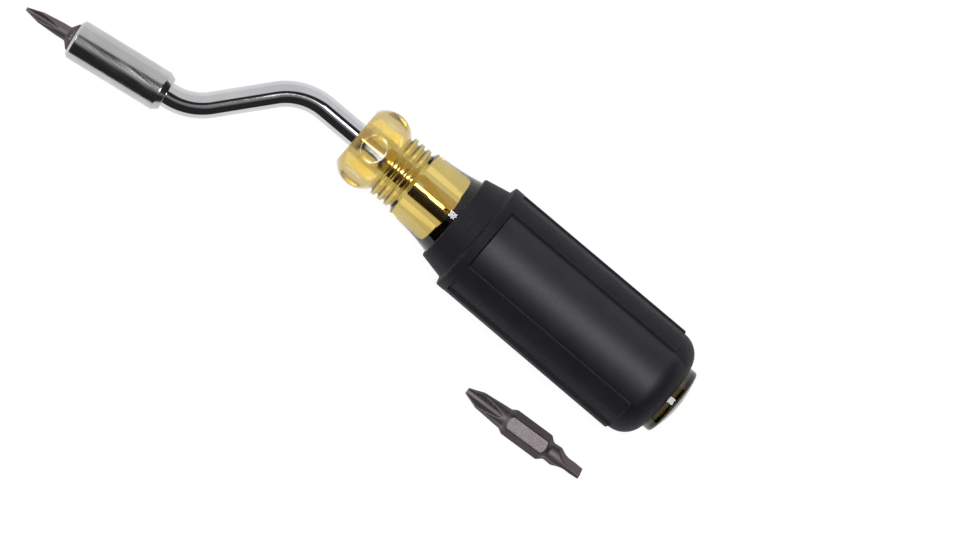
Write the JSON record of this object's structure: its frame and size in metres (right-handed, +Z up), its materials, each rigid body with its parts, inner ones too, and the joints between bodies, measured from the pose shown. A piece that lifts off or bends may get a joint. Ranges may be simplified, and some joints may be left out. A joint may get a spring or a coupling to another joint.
{
  "type": "multi-bit screwdriver",
  "caption": "Hand screwdriver with a fluted amber core, black cushion grip, cranked round shaft, hex bit holder and double-ended bits.",
  "frame": {"origin": "centre of the flat butt face of the handle", "axes": "+X along the handle's axis from the butt to the knob, +Y the side that the shaft is bent to, +Z up, square to the bend"},
  "size_m": [0.2263, 0.0602, 0.0376],
  "materials": {
    "amber_acetate": "clear polished",
    "black_rubber": "matte",
    "chrome_shaft": "plated, bright",
    "chrome_holder": "plated, satin",
    "spring_wire": "drawn wire",
    "bit_steel": "dark phosphate, ground flats"
  },
  "bodies": {
    "driver": {"handle_core": "amber_acetate", "cushion_grip": "black_rubber", "shaft": "chrome_shaft", "bit_holder": "chrome_holder", "retaining_ring": "spring_wire"},
    "working_bit": {"working_bit": "bit_steel"},
    "spare_bit": {"spare_bit": "bit_steel"}
  },
  "joints": [
    {"name": "bit_slide", "type": "slide", "parent": "driver", "child": "working_bit", "axis": [0.9883, 0.1528, 0], "range_m": [0, 0.03]},
    {"name": "spare_slide", "type": "slide", "parent": "driver", "child": "spare_bit", "axis": [0, 1, 0], "range_m": [0, 0.05]}
  ]
}
